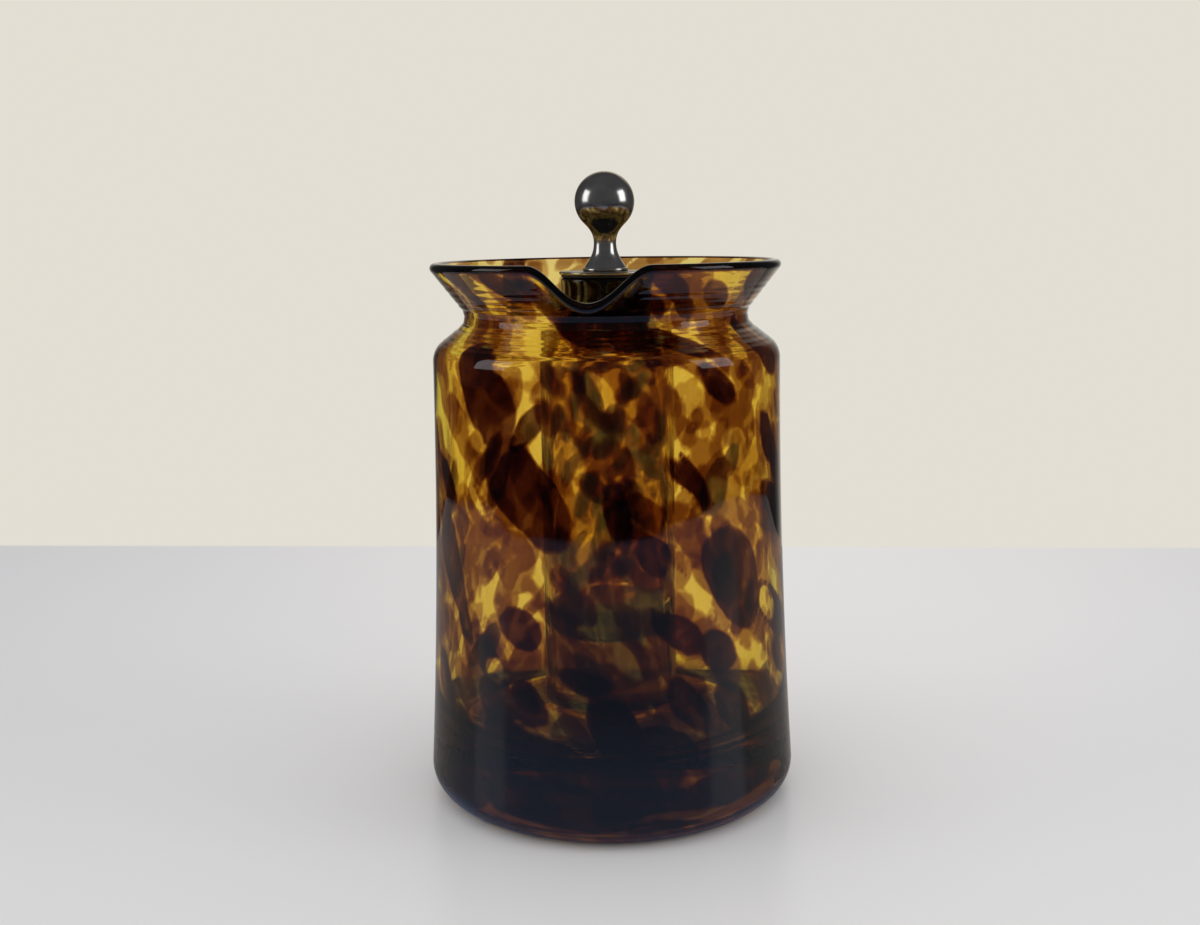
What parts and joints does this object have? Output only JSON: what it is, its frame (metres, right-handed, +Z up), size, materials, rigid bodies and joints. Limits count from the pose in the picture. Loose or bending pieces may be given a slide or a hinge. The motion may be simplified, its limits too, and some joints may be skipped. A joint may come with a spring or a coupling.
{
  "type": "carafe",
  "caption": "Blown tortoiseshell-glass carafe with a drawn-in neck, flared collar and pinched pouring lip, a lift-out glass ice tube and a metal lid with a ball knob.",
  "frame": {"origin": "centre of the base, on the surface that the carafe stands on", "axes": "+Z up along the jug's axis, the pouring lip points along -Y"},
  "size_m": [0.15, 0.15, 0.2524],
  "materials": {
    "mottled_glass": "polished, amber with dark brown oval spots",
    "amber_glass": "polished, amber with small brown oval spots above a clear thick bottom",
    "bright_nickel": "polished nickel",
    "dark_nickel": "polished dark nickel",
    "dark_rubber": "matt dark silicone rubber",
    "plain_steel": "plain stainless steel"
  },
  "bodies": {
    "carafe": {"carafe_body": "mottled_glass"},
    "ice_tube": {"ice_tube": "amber_glass"},
    "lid": {"lid_plate": "bright_nickel", "lid_knob": "dark_nickel", "lid_stopper": "dark_rubber", "lid_washer": "plain_steel", "lid_screw": "plain_steel"}
  },
  "joints": [
    {"name": "tube_lift", "type": "slide", "parent": "carafe", "child": "ice_tube", "axis": [0, 0, 1], "range_m": [0, 0.2]},
    {"name": "lid_lift", "type": "slide", "parent": "ice_tube", "child": "lid", "axis": [0, 0, 1], "range_m": [0, 0.03]}
  ]
}
